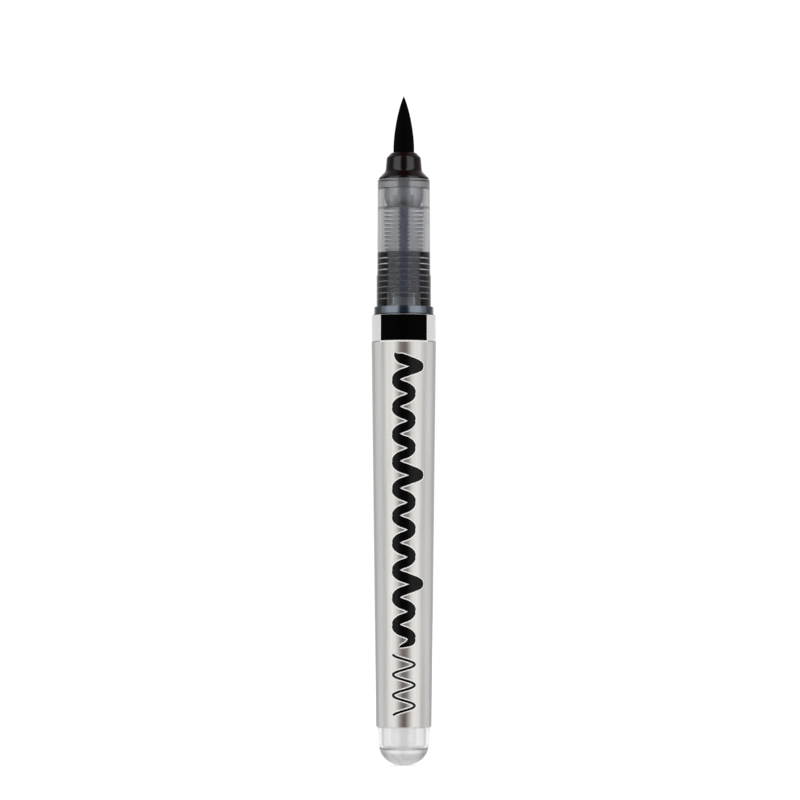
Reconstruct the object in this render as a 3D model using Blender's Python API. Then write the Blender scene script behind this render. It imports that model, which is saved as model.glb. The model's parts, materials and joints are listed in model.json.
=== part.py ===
"""Brush marker for calligraphy, without its cap.

The marker stands upright on its clear rear end. Its axis is Z, the brush points to +Z and the printed
front faces -Y. Heights are measured from the flat at the bottom of the rear end. Units are metres.
"""

import math

import bmesh
import bpy

MM = 0.001

# Lengths along the axis, in order from the rear end to the brush.
REAR_END_LENGTH = 7.7 * MM  # clear end below the printed sleeve
SLEEVE_LENGTH = 76.7 * MM  # silver printed sleeve
BAND_LENGTH = 5.3 * MM  # pale colour band above the sleeve
RIM_LENGTH = 0.2 * MM  # bare barrel rim above the band
FLANGE_THICKNESS = 1.45 * MM  # dark flange that seats on the barrel
GRIP_LENGTH = 23.85 * MM  # smoke-grey grip tube
GRIP_FOOT_LENGTH = 6.6 * MM  # its wider foot
RING_LENGTH = 1.85 * MM  # clear ring between the grip tube and the nozzle
NOZZLE_LENGTH = 5.3 * MM
BRUSH_LENGTH = 11.6 * MM  # from the bending point to the tip

# Radii of what shows.
BARREL_MOUTH_RADIUS = 6.28 * MM
BARREL_REAR_RADIUS = 5.37 * MM
FLANGE_INSET = 0.32 * MM  # the flange is this much smaller than the barrel's mouth
GRIP_FOOT_RADIUS = 5.46 * MM
GRIP_REAR_RADIUS = 5.34 * MM
GRIP_FRONT_RADIUS = 5.26 * MM
NOZZLE_RIM_RADIUS = 5.03 * MM
NOZZLE_NECK_RADIUS = 3.67 * MM  # foot of the narrow part
NOZZLE_HEAD_RADIUS = 3.43 * MM
NOZZLE_LIP_RADIUS = 2.55 * MM
BRUSH_RADIUS = 2.09 * MM

# Clearances.
FIT_GAP = 0.1 * MM  # radial, between moulded pieces that fit in one another
SEAT_GAP = 0.1 * MM  # axial, between pieces that seat on one another
FILM_GAP = 0.05 * MM  # between a printed film and what it is wrapped round

# Walls and films.
BARREL_WALL = 0.8 * MM
GRIP_FOOT_WALL = 0.56 * MM
GRIP_FRONT_WALL = 1.26 * MM
FILM_THICKNESS = 0.12 * MM
PATCH_THICKNESS = 0.1 * MM
EDGE_ROUND = 0.15 * MM

# Rear plug: an elliptic dome with a small moulding flat, and a spigot that fits in the barrel.
DOME_RADIUS = 5.0 * MM
DOME_HEIGHT = 4.14 * MM
DOME_FLAT_RADIUS = 1.0 * MM
PLUG_SHOULDER_RADIUS = 5.36 * MM
PLUG_SPIGOT_LENGTH = 4.5 * MM
PLUG_SPIGOT_WALL = 0.5 * MM
PLUG_FLOOR = 3.3 * MM
PLUG_CAVITY_ROUND = 1.2 * MM
STOPPER_LENGTH = 4.0 * MM
STOPPER_WALL = 0.8 * MM
INK_LENGTH = 36.0 * MM

# Section base: the flange, its plug in the grip tube and its spigot in the barrel.
FOOT_RECESS = 0.35 * MM  # how deep the grip tube's foot sits in the flange
BASE_PLUG_LENGTH = 2.55 * MM
BASE_SPIGOT_LENGTH = 6.4 * MM
SEAL_GROOVE_DEPTH = 0.55 * MM
SEAL_DEPTH_IN_BARREL = 3.0 * MM  # from the mouth to the middle of the seal ring
SEAL_GROOVE_SIDE_GAP = 0.1 * MM

# Collector: thin fins on a core tube that carries the wick.
WICK_RADIUS = 0.85 * MM
WICK_DIP = 2.0 * MM  # how far the wick hangs into the tank below the collector
CORE_WALL = 0.5 * MM
STEM_RADIUS = 2.3 * MM
STEM_LENGTH_IN_BASE = 9.0 * MM
REAR_BORE_LENGTH = 11.1 * MM  # wide bore of the grip tube, from its foot
REAR_FIN_PITCH = 1.16 * MM
REAR_FIN_THICKNESS = 0.62 * MM
FRONT_FIN_PITCH = 0.76 * MM
FRONT_FIN_THICKNESS = 0.38 * MM
FRONT_STEM_LENGTH = 2.4 * MM
AIR_SLOT_WIDTH = 2.0 * MM
INK_SLIT_WIDTH = 0.4 * MM

# Adapter, nozzle and brush root.
ADAPTER_SPIGOT_LENGTH = 3.9 * MM
ADAPTER_NECK_LENGTH = 2.6 * MM
NOZZLE_WALL = 0.43 * MM  # round the neck cavity, at the narrowest place
NOZZLE_RIM_HEIGHT = 0.25 * MM
NOZZLE_CONE_HEIGHT = 1.55 * MM
NOZZLE_HEAD_ROUND_HEIGHT = 1.15 * MM
MOUTH_GAP = 0.2 * MM  # between the brush and the nozzle's mouth, so that the brush can bend
ROOT_FLANGE_THICKNESS = 0.7 * MM
ROOT_TOP_BELOW_PIVOT = 1.1 * MM
PIVOT_BELOW_LIP = 0.1 * MM
BELLY_LENGTH = 4.6 * MM  # from the first bending place to the second
BELLY_BEND_GAP = 1.1 * MM  # between the two lengths of bristle, so that they can turn
BRUSH_TAPER_LENGTH = 10.6 * MM
BRUSH_TAPER_CURVE = 1.7  # how quickly the taper runs out into the straight foot
BRUSH_TIP_FULLNESS = 0.85  # 1 is a sharp cone at the very tip, less is fuller

PATCH_HALF_ANGLE = math.radians(46.0)

# Numbers of flats in what is turned.
SHELL_SEGMENTS = 36
INNER_SEGMENTS = 20
ROUND_STEPS = 2
DOME_STEPS = 7
SEAL_STEPS = 8
BELLY_STEPS = 5
POINT_STEPS = 8
PATCH_SEGMENTS = 12

# Heights of the seats, from the rear end up.
SLEEVE_FOOT = REAR_END_LENGTH
SLEEVE_HEAD = SLEEVE_FOOT + SLEEVE_LENGTH
BAND_HEAD = SLEEVE_HEAD + BAND_LENGTH
MOUTH = BAND_HEAD + RIM_LENGTH
FLANGE_FOOT = MOUTH + SEAT_GAP
FLANGE_HEAD = FLANGE_FOOT + FLANGE_THICKNESS
GRIP_FOOT = FLANGE_HEAD - FOOT_RECESS + SEAT_GAP
GRIP_HEAD = GRIP_FOOT + GRIP_LENGTH
RING_FOOT = GRIP_HEAD + SEAT_GAP
RING_HEAD = RING_FOOT + RING_LENGTH
NOZZLE_FOOT = RING_HEAD + SEAT_GAP
NOZZLE_LIP = NOZZLE_FOOT + NOZZLE_LENGTH
BRUSH_PIVOT = NOZZLE_LIP - PIVOT_BELOW_LIP
BRUSH_POINT = BRUSH_PIVOT + BRUSH_LENGTH
POINT_PIVOT = BRUSH_PIVOT + BELLY_LENGTH
BASE_PLUG_HEAD = FLANGE_HEAD + BASE_PLUG_LENGTH
BASE_SPIGOT_FOOT = FLANGE_FOOT - BASE_SPIGOT_LENGTH
BORE_STEP = GRIP_FOOT + REAR_BORE_LENGTH
ADAPTER_FOOT = RING_FOOT - ADAPTER_SPIGOT_LENGTH
NECK_HEAD = RING_HEAD + ADAPTER_NECK_LENGTH
ROOT_FOOT = NECK_HEAD + SEAT_GAP
NOZZLE_SHOULDER = ROOT_FOOT + ROOT_FLANGE_THICKNESS + SEAT_GAP

# Radii of what fits together.
CORE_BORE_RADIUS = WICK_RADIUS + FIT_GAP
CORE_RADIUS = CORE_BORE_RADIUS + CORE_WALL
GRIP_REAR_BORE = GRIP_FOOT_RADIUS - GRIP_FOOT_WALL
GRIP_FRONT_BORE = GRIP_FRONT_RADIUS - GRIP_FRONT_WALL
NECK_CAVITY_RADIUS = NOZZLE_HEAD_RADIUS - NOZZLE_WALL
NECK_RADIUS = NECK_CAVITY_RADIUS - FIT_GAP
NOZZLE_MOUTH_RADIUS = BRUSH_RADIUS + MOUTH_GAP


def clear_scene():
    for obj in list(bpy.data.objects):
        bpy.data.objects.remove(obj)


def material(name, colour, roughness, metallic=0.0):
    made = bpy.data.materials.new(name)
    made.use_nodes = True
    shader = made.node_tree.nodes["Principled BSDF"]
    shader.inputs["Base Color"].default_value = colour if len(colour) == 4 else (*colour, 1.0)
    shader.inputs["Alpha"].default_value = colour[3] if len(colour) == 4 else 1.0
    shader.inputs["Roughness"].default_value = roughness
    shader.inputs["Metallic"].default_value = metallic
    return made


def empty(name, height, parent=None):
    made = bpy.data.objects.new(name, None)
    made.location = (0.0, 0.0, height - (parent.matrix_world.translation.z if parent else 0.0))
    made.parent = parent
    bpy.context.scene.collection.objects.link(made)
    return made


def barrel_radius(height):
    """Outer radius of the barrel at a height. It is a cone up to the colour band, then a cylinder."""
    share = min((height - SLEEVE_FOOT) / SLEEVE_LENGTH, 1.0)
    return BARREL_REAR_RADIUS + share * (BARREL_MOUTH_RADIUS - BARREL_REAR_RADIUS)


def bore_radius(height):
    """Radius of the barrel's bore, which runs parallel to its outside."""
    return barrel_radius(height) - BARREL_WALL


def film_radius(height):
    """Outer radius of the printed film round the barrel."""
    return barrel_radius(height) + FILM_GAP + FILM_THICKNESS


def rounded(corners):
    """An outline of (radius, height) corners. A corner's third number is how far to round it."""
    points = []
    for i, corner in enumerate(corners):
        here = (corner[0], corner[1])
        ease = corner[2] if len(corner) > 2 else 0.0
        if ease <= 0.0:
            points.append(here)
            continue
        before = corners[i - 1]
        after = corners[(i + 1) % len(corners)]
        to_before = (before[0] - here[0], before[1] - here[1])
        to_after = (after[0] - here[0], after[1] - here[1])
        long_before = math.hypot(*to_before)
        long_after = math.hypot(*to_after)
        reach = min(ease, 0.45 * long_before, 0.45 * long_after)
        start = [here[k] + to_before[k] / long_before * reach for k in (0, 1)]
        end = [here[k] + to_after[k] / long_after * reach for k in (0, 1)]
        for step in range(ROUND_STEPS + 1):
            t = step / ROUND_STEPS
            points.append(
                tuple(
                    (1 - t) ** 2 * start[k] + 2 * t * (1 - t) * here[k] + t * t * end[k]
                    for k in (0, 1)
                )
            )
    return points


def turned(name, outline, look, parent, segments=SHELL_SEGMENTS):
    """One solid of revolution. An outline that starts and ends on the axis is a full body, any other
    is a ring. Its heights are those of the marker, and its origin is its parent's."""
    base = parent.matrix_world.translation.z
    mesh = bmesh.new()
    corners = [mesh.verts.new((radius, 0.0, height - base)) for radius, height in outline]
    on_axis = outline[0][0] == 0.0 and outline[-1][0] == 0.0
    ends = corners[1:] if on_axis else corners[1:] + corners[:1]
    edges = [mesh.edges.new(pair) for pair in zip(corners, ends)]
    bmesh.ops.spin(
        mesh,
        geom=corners + edges,
        cent=(0.0, 0.0, 0.0),
        axis=(0.0, 0.0, 1.0),
        angle=2 * math.pi,
        steps=segments,
        use_merge=True,
    )
    bmesh.ops.remove_doubles(mesh, verts=mesh.verts, dist=1e-7)
    return finish(name, mesh, look, parent)


def finish(name, mesh, look, parent):
    bmesh.ops.recalc_face_normals(mesh, faces=mesh.faces)
    data = bpy.data.meshes.new(name)
    mesh.to_mesh(data)
    mesh.free()
    data.shade_smooth()
    data.set_sharp_from_angle(angle=math.radians(30.0))
    data.materials.append(look)
    made = bpy.data.objects.new(name, data)
    made.parent = parent
    bpy.context.scene.collection.objects.link(made)
    return made


def cutter(name, low, high, parent):
    """A box that cuts, from its lowest to its highest corner."""
    mesh = bmesh.new()
    bmesh.ops.create_cube(mesh, size=1.0)
    for vert in mesh.verts:
        for k in range(3):
            vert.co[k] = low[k] if vert.co[k] < 0 else high[k]
    made = finish(name, mesh, bpy.data.materials[0], parent)
    made.hide_render = True
    made.display_type = "WIRE"
    return made


def cut(obj, tool):
    modifier = obj.modifiers.new("cut_" + tool.name, "BOOLEAN")
    modifier.operation = "DIFFERENCE"
    modifier.object = tool
    modifier.solver = "EXACT"


def dome_outline():
    """The rear end's outside, from the edge of its flat up to its shoulder."""
    first = math.asin(DOME_FLAT_RADIUS / DOME_RADIUS)
    flat_height = DOME_HEIGHT * (1 - math.cos(first))
    points = []
    for step in range(DOME_STEPS + 1):
        angle = first + (math.pi / 2 - first) * step / DOME_STEPS
        height = DOME_HEIGHT * (1 - math.cos(angle)) - flat_height
        points.append((DOME_RADIUS * math.sin(angle), height))
    return points


def rear_plug(look, parent):
    shoulder = SLEEVE_FOOT - SEAT_GAP
    spigot = bore_radius(SLEEVE_FOOT) - FIT_GAP
    cavity = spigot - PLUG_SPIGOT_WALL
    head = shoulder + PLUG_SPIGOT_LENGTH
    outline = [(0.0, 0.0)]
    outline += dome_outline()
    outline += rounded(
        [
            (PLUG_SHOULDER_RADIUS, shoulder),
            (spigot, shoulder),
            (spigot, head, EDGE_ROUND),
            (cavity, head),
            (cavity, PLUG_FLOOR, PLUG_CAVITY_ROUND),
            (0.0, PLUG_FLOOR),
        ]
    )
    return turned("rear_plug", outline, look, parent)


def tank_stopper(look, parent):
    """A cup that closes the rear of the ink tank, just inside the rear plug's spigot."""
    foot = SLEEVE_FOOT + PLUG_SPIGOT_LENGTH + SEAT_GAP
    head = foot + STOPPER_LENGTH
    radius = bore_radius(foot) - FIT_GAP
    outline = rounded(
        [
            (0.0, head),
            (radius, head, EDGE_ROUND),
            (radius, foot, EDGE_ROUND),
            (radius - STOPPER_WALL, foot),
            (radius - STOPPER_WALL, head - STOPPER_WALL),
            (0.0, head - STOPPER_WALL),
        ]
    )
    return turned("tank_stopper", outline, look, parent)


def ink_charge(look, parent):
    """The ink that stands in the tank on the stopper."""
    foot = SLEEVE_FOOT + PLUG_SPIGOT_LENGTH + STOPPER_LENGTH + 2 * SEAT_GAP
    head = foot + INK_LENGTH
    outline = [
        (0.0, foot),
        (bore_radius(foot) - FIT_GAP, foot),
        (bore_radius(head) - FIT_GAP, head),
        (0.0, head),
    ]
    return turned("ink_charge", outline, look, parent)


def barrel(look, parent):
    outline = rounded(
        [
            (bore_radius(SLEEVE_FOOT), SLEEVE_FOOT),
            (BARREL_REAR_RADIUS, SLEEVE_FOOT),
            (BARREL_MOUTH_RADIUS, SLEEVE_HEAD),
            (BARREL_MOUTH_RADIUS, MOUTH, EDGE_ROUND),
            (bore_radius(MOUTH), MOUTH, EDGE_ROUND),
            (bore_radius(SLEEVE_HEAD), SLEEVE_HEAD),
        ]
    )
    return turned("barrel", outline, look, parent)


def film(name, foot, head, look, parent):
    """A printed film wrapped round the barrel between two heights."""
    outline = [
        (barrel_radius(foot) + FILM_GAP, foot),
        (film_radius(foot), foot),
        (film_radius(head), head),
        (barrel_radius(head) + FILM_GAP, head),
    ]
    return turned(name, outline, look, parent)


def colour_patch(look, parent):
    """The black block on the front of the colour band, as a thin curved label."""
    foot = SLEEVE_HEAD + 2 * FILM_GAP
    head = BAND_HEAD - FILM_GAP
    mesh = bmesh.new()
    corners = []
    for height in (foot, head):
        inner = film_radius(height) + FILM_GAP
        pair = [inner, inner + PATCH_THICKNESS]
        corners += [(radius, height) for radius in (pair if height == foot else pair[::-1])]
    turn = -math.pi / 2 - PATCH_HALF_ANGLE
    spots = [(r * math.cos(turn), r * math.sin(turn), height) for r, height in corners]
    face = mesh.faces.new([mesh.verts.new(spot) for spot in spots])
    bmesh.ops.spin(
        mesh,
        geom=[face, *face.edges, *face.verts],
        cent=(0.0, 0.0, 0.0),
        axis=(0.0, 0.0, 1.0),
        angle=2 * PATCH_HALF_ANGLE,
        steps=PATCH_SEGMENTS,
    )
    return finish("colour_patch", mesh, look, parent)


def seal_place():
    """(height, ring radius, section radius) of the seal ring between the spigot and the barrel."""
    height = MOUTH - SEAL_DEPTH_IN_BARREL
    inner = spigot_radius() - SEAL_GROOVE_DEPTH + FILM_GAP
    outer = bore_radius(height) - FILM_GAP
    return height, (inner + outer) / 2, (outer - inner) / 2


def spigot_radius():
    """The section base's spigot fits the tapered bore at its own lower end."""
    return bore_radius(BASE_SPIGOT_FOOT) - FIT_GAP


def section_base(look, parent):
    """Flange between barrel and grip tube, with a plug up into one and a spigot down into the other."""
    flange = BARREL_MOUTH_RADIUS - FLANGE_INSET
    recess = GRIP_FOOT_RADIUS + FIT_GAP
    plug = GRIP_REAR_BORE - FIT_GAP
    spigot = spigot_radius()
    bore = STEM_RADIUS + FIT_GAP
    seal_height, _, seal_section = seal_place()
    groove = seal_section + SEAL_GROOVE_SIDE_GAP
    outline = rounded(
        [
            (bore, BASE_SPIGOT_FOOT),
            (spigot, BASE_SPIGOT_FOOT, EDGE_ROUND),
            (spigot, seal_height - groove),
            (spigot - SEAL_GROOVE_DEPTH, seal_height - groove),
            (spigot - SEAL_GROOVE_DEPTH, seal_height + groove),
            (spigot, seal_height + groove),
            (spigot, FLANGE_FOOT),
            (flange, FLANGE_FOOT),
            (flange, FLANGE_HEAD, EDGE_ROUND / 2),
            (recess, FLANGE_HEAD),
            (recess, FLANGE_HEAD - FOOT_RECESS),
            (plug, FLANGE_HEAD - FOOT_RECESS),
            (plug, BASE_PLUG_HEAD, EDGE_ROUND),
            (bore, BASE_PLUG_HEAD),
        ]
    )
    return turned("section_base", outline, look, parent)


def tank_seal_ring(look, parent):
    height, radius, section = seal_place()
    outline = []
    for step in range(SEAL_STEPS):
        angle = 2 * math.pi * (step + 0.5) / SEAL_STEPS
        outline.append((radius + section * math.cos(angle), height + section * math.sin(angle)))
    return turned("tank_seal_ring", outline, look, parent)


def grip_tube(look, parent):
    step = GRIP_FOOT + GRIP_FOOT_LENGTH
    outline = rounded(
        [
            (GRIP_REAR_BORE, GRIP_FOOT),
            (GRIP_FOOT_RADIUS, GRIP_FOOT),
            (GRIP_FOOT_RADIUS, step, EDGE_ROUND / 2),
            (GRIP_REAR_RADIUS, step),
            (GRIP_FRONT_RADIUS, GRIP_HEAD, EDGE_ROUND / 2),
            (GRIP_FRONT_BORE, GRIP_HEAD),
            (GRIP_FRONT_BORE, BORE_STEP),
            (GRIP_REAR_BORE, BORE_STEP),
        ]
    )
    return turned("grip_tube", outline, look, parent)


def fins(foot, head, pitch, thickness, radius):
    """Corners of evenly spaced fins on the collector's core, from foot up to head."""
    count = max(1, int((head - foot - thickness) / pitch) + 1)
    spacing = (head - foot - thickness) / max(1, count - 1)
    corners = []
    for i in range(count):
        low = foot + i * spacing
        corners += [
            (CORE_RADIUS, low),
            (radius, low),
            (radius, low + thickness),
            (CORE_RADIUS, low + thickness),
        ]
    return corners


def collector(look, parent):
    """Capillary buffer: wide fins at the rear, narrow ones in front, on one core tube."""
    stem_foot = BASE_PLUG_HEAD - STEM_LENGTH_IN_BASE
    fins_foot = BASE_PLUG_HEAD + SEAT_GAP
    rear_head = BORE_STEP - SEAT_GAP
    front_foot = BORE_STEP + FRONT_FIN_THICKNESS
    front_head = ADAPTER_FOOT - SEAT_GAP
    rear_radius = GRIP_REAR_BORE - FIT_GAP
    front_radius = GRIP_FRONT_BORE - FIT_GAP
    rear = fins(fins_foot, rear_head, REAR_FIN_PITCH, REAR_FIN_THICKNESS, rear_radius)
    front = fins(front_foot, front_head, FRONT_FIN_PITCH, FRONT_FIN_THICKNESS, front_radius)
    front_end = front_head + FRONT_STEM_LENGTH
    outline = [(CORE_BORE_RADIUS, stem_foot), (STEM_RADIUS, stem_foot), (STEM_RADIUS, fins_foot)]
    outline += rear[1:] + front
    outline += [(CORE_RADIUS, front_end), (CORE_BORE_RADIUS, front_end)]
    made = turned("collector", outline, look, parent, INNER_SEGMENTS)
    web = CORE_RADIUS + 0.05 * MM
    reach = GRIP_FOOT_RADIUS
    low, high = fins_foot - SEAT_GAP, front_head + SEAT_GAP
    half_slot, half_slit = AIR_SLOT_WIDTH / 2, INK_SLIT_WIDTH / 2
    front_box = cutter("air_slot_cutter", (-half_slot, -reach, low), (half_slot, -web, high), parent)
    back_box = cutter("ink_slit_cutter", (-half_slit, web, low), (half_slit, reach, high), parent)
    cut(made, front_box)
    cut(made, back_box)
    return made


def feed_wick(look, parent):
    """Fibre rod that leads ink from the tank through the collector to the brush's root."""
    foot = BASE_PLUG_HEAD - STEM_LENGTH_IN_BASE - WICK_DIP
    head = ROOT_FOOT - SEAT_GAP
    outline = [(0.0, foot), (WICK_RADIUS, foot), (WICK_RADIUS, head), (0.0, head)]
    return turned("feed_wick", outline, look, parent, INNER_SEGMENTS)


def nozzle_adapter(look, parent):
    """Clear ring under the nozzle, with a spigot in the grip tube and a neck up inside the nozzle."""
    spigot = GRIP_FRONT_BORE - FIT_GAP
    stem_bore = CORE_RADIUS + FIT_GAP
    stem_head = ADAPTER_FOOT - SEAT_GAP + FRONT_STEM_LENGTH + SEAT_GAP
    outline = rounded(
        [
            (stem_bore, ADAPTER_FOOT),
            (spigot, ADAPTER_FOOT, EDGE_ROUND),
            (spigot, RING_FOOT),
            (GRIP_FRONT_RADIUS, RING_FOOT, EDGE_ROUND / 2),
            (GRIP_FRONT_RADIUS, RING_HEAD, 2 * EDGE_ROUND),
            (NECK_RADIUS, RING_HEAD),
            (NECK_RADIUS, NECK_HEAD, EDGE_ROUND),
            (CORE_BORE_RADIUS, NECK_HEAD),
            (CORE_BORE_RADIUS, stem_head),
            (stem_bore, stem_head),
        ]
    )
    return turned("nozzle_adapter", outline, look, parent)


def nozzle(look, parent):
    rim_head = NOZZLE_FOOT + NOZZLE_RIM_HEIGHT
    cone_head = rim_head + NOZZLE_CONE_HEIGHT
    head_foot = NOZZLE_LIP - NOZZLE_HEAD_ROUND_HEIGHT
    outline = rounded(
        [
            (NECK_CAVITY_RADIUS, NOZZLE_FOOT),
            (NOZZLE_RIM_RADIUS, NOZZLE_FOOT),
            (NOZZLE_RIM_RADIUS, rim_head, EDGE_ROUND),
            (NOZZLE_NECK_RADIUS, cone_head, 2 * EDGE_ROUND),
            (NOZZLE_HEAD_RADIUS, head_foot, 2 * EDGE_ROUND),
            (NOZZLE_LIP_RADIUS, NOZZLE_LIP, EDGE_ROUND / 2),
            (NOZZLE_MOUTH_RADIUS, NOZZLE_LIP, EDGE_ROUND),
            (NOZZLE_MOUTH_RADIUS, NOZZLE_SHOULDER),
            (NECK_CAVITY_RADIUS, NOZZLE_SHOULDER),
        ]
    )
    return turned("nozzle", outline, look, parent)


def brush_root(look, parent):
    """The bristles' welded root: a flange held between adapter and nozzle, and the bound bundle."""
    bundle_head = BRUSH_PIVOT - ROOT_TOP_BELOW_PIVOT
    bundle = NOZZLE_MOUTH_RADIUS - FIT_GAP
    flange_head = ROOT_FOOT + ROOT_FLANGE_THICKNESS
    outline = rounded(
        [
            (0.0, ROOT_FOOT),
            (NECK_RADIUS, ROOT_FOOT),
            (NECK_RADIUS, flange_head),
            (bundle, flange_head),
            (bundle, bundle_head, EDGE_ROUND),
            (0.0, bundle_head),
        ]
    )
    return turned("brush_root", outline, look, parent, INNER_SEGMENTS)


def brush_radius(height):
    """Radius of the free bristles, which taper in a slender ogive to their point."""
    left = max(1.0 - (BRUSH_POINT - height) / BRUSH_TAPER_LENGTH, 0.0)
    return BRUSH_RADIUS * max(1.0 - left**BRUSH_TAPER_CURVE, 0.0) ** BRUSH_TIP_FULLNESS


def bristles(name, foot, head, steps, look, parent):
    """One length of the free bristles. It turns about its parent's place on the axis."""
    heights = [foot + (head - foot) * step / steps for step in range(steps + 1)]
    outline = [(0.0, foot)]
    outline += [(brush_radius(height), height) for height in heights]
    if outline[-1][0] > 0.0:
        outline.append((0.0, head))
    return turned(name, outline, look, parent, INNER_SEGMENTS)


def build():
    clear_scene()
    clear_plastic = material("clear_plastic", (0.90, 0.91, 0.91, 0.35), 0.08)
    smoke_plastic = material("smoke_plastic", (0.42, 0.43, 0.45, 0.45), 0.10)
    collector_plastic = material("collector_plastic", (0.16, 0.17, 0.20, 0.8), 0.25)
    black_plastic = material("black_plastic", (0.010, 0.009, 0.010), 0.18)
    natural_plastic = material("natural_plastic", (0.80, 0.80, 0.78), 0.45)
    silver_film = material("silver_film", (0.70, 0.69, 0.68), 0.32, 0.85)
    pale_film = material("pale_film", (0.82, 0.82, 0.81), 0.35)
    black_print = material("black_print", (0.004, 0.004, 0.004), 0.5)
    ink = material("ink", (0.003, 0.003, 0.004), 0.05)
    wick_fibre = material("wick_fibre", (0.03, 0.03, 0.04), 0.9)
    bristle = material("bristle", (0.004, 0.004, 0.004), 0.55)
    seal_rubber = material("seal_rubber", (0.02, 0.02, 0.02), 0.7)

    axis = empty("marker_axis", 0.0)
    bpy.context.view_layer.update()
    rear_plug(clear_plastic, axis)
    tank_stopper(natural_plastic, axis)
    ink_charge(ink, axis)
    barrel(clear_plastic, axis)
    film("label_sleeve", SLEEVE_FOOT, SLEEVE_HEAD - FILM_GAP, silver_film, axis)
    film("colour_band", SLEEVE_HEAD + FILM_GAP, BAND_HEAD, pale_film, axis)
    colour_patch(black_print, axis)
    section_base(collector_plastic, axis)
    tank_seal_ring(seal_rubber, axis)
    collector(collector_plastic, axis)
    feed_wick(wick_fibre, axis)
    grip_tube(smoke_plastic, axis)
    nozzle_adapter(smoke_plastic, axis)
    nozzle(black_plastic, axis)
    brush_root(bristle, axis)

    pivot = empty("brush_pivot", BRUSH_PIVOT, axis)
    bpy.context.view_layer.update()
    belly_head = POINT_PIVOT - BELLY_BEND_GAP / 2
    bristles("brush_belly", BRUSH_PIVOT, belly_head, BELLY_STEPS, bristle, pivot)
    point_pivot = empty("point_pivot", POINT_PIVOT, pivot)
    bpy.context.view_layer.update()
    point_foot = POINT_PIVOT + BELLY_BEND_GAP / 2
    bristles("brush_point", point_foot, BRUSH_POINT, POINT_STEPS, bristle, point_pivot)


build()
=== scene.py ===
"""Looks of the calligraphy marker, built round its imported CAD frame.

The marker stands on its clear rear end with its brush on top, and its printed front faces -Y. All sizes are
in metres. Every piece that shows is turned, wrapped or drawn here at a finer step than the CAD solid whose
place it takes, and has a procedural material.
"""

import json
import math
import random

import bmesh
import bpy
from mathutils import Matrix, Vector


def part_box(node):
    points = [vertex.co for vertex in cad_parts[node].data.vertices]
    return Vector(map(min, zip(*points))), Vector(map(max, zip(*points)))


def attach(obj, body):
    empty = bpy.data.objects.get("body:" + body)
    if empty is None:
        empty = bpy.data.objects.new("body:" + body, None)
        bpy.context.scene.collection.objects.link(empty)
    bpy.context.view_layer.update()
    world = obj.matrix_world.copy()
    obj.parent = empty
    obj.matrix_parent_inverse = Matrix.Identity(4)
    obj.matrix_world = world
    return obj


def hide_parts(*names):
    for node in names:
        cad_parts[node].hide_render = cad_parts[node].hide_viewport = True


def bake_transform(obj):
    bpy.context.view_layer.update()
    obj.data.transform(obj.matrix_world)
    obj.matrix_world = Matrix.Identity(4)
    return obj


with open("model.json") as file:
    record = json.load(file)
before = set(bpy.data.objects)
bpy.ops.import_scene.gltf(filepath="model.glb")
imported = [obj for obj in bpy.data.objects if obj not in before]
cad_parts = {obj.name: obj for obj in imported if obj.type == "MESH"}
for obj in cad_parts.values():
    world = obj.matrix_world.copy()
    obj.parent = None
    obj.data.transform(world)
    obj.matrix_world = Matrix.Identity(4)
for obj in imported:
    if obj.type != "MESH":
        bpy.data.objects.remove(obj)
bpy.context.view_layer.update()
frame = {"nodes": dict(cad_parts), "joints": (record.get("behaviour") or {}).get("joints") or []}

MM = 0.001

# Camera and stage.
VIEW_CENTRE = Vector((-0.76, 0.0, 72.85)) * MM
CAMERA_DISTANCE = 800.0 * MM
CAMERA_HEIGHT = 36.0 * MM
LENS = 180.2
FLOOR_HALF_WIDTH = 3.0
PANEL_LIGHT = 1.5
OVERHEAD_LIGHT = 0.1
PAPER_LIGHT = 1.05

# How finely things are turned.
SHELL_SEGMENTS = 144
FIN_SEGMENTS = 96
ROUND_STEPS = 5
EDGE_ROUND = 0.05 * MM
SHARP_ANGLE = 35.0

# Walls and clearances of the mouldings, as in the CAD.
FIT_GAP = 0.1 * MM
SEAT_GAP = 0.1 * MM
FILM_GAP = 0.05 * MM
FILM_THICKNESS = 0.12 * MM
BARREL_WALL = 0.8 * MM
GRIP_FOOT_WALL = 0.56 * MM
GRIP_FRONT_WALL = 1.26 * MM
CORE_WALL = 0.5 * MM
NOZZLE_WALL = 0.43 * MM


# ---- places from the frame


def foot(node):
    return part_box(node)[0].z


def head(node):
    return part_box(node)[1].z


def radius(node):
    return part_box(node)[1].x


# ---- meshes


def polar(reach, angle, height):
    return reach * math.cos(angle), reach * math.sin(angle), height


def rounded(*corners):
    """An outline of (radius, height) corners. A corner's third number is how far to round it."""
    points = []
    for i, corner in enumerate(corners):
        here = (corner[0], corner[1])
        ease = corner[2] if len(corner) > 2 else 0.0
        if ease <= 0.0:
            points.append(here)
            continue
        before = corners[i - 1]
        after = corners[(i + 1) % len(corners)]
        to_before = (before[0] - here[0], before[1] - here[1])
        to_after = (after[0] - here[0], after[1] - here[1])
        long_before = math.hypot(*to_before)
        long_after = math.hypot(*to_after)
        reach = min(ease, 0.45 * long_before, 0.45 * long_after)
        start = [here[k] + to_before[k] / long_before * reach for k in (0, 1)]
        end = [here[k] + to_after[k] / long_after * reach for k in (0, 1)]
        for step in range(ROUND_STEPS + 1):
            t = step / ROUND_STEPS
            weights = ((1 - t) ** 2, 2 * t * (1 - t), t * t)
            points.append(tuple(sum(w * p[k] for w, p in zip(weights, (start, here, end))) for k in (0, 1)))
    return points


def placed(name, data):
    made = bpy.data.objects.new(name, data)
    bpy.context.scene.collection.objects.link(made)
    return made


def mesh_object(name, mesh):
    data = bpy.data.meshes.new(name)
    mesh.to_mesh(data)
    mesh.free()
    return placed(name, data)


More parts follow.
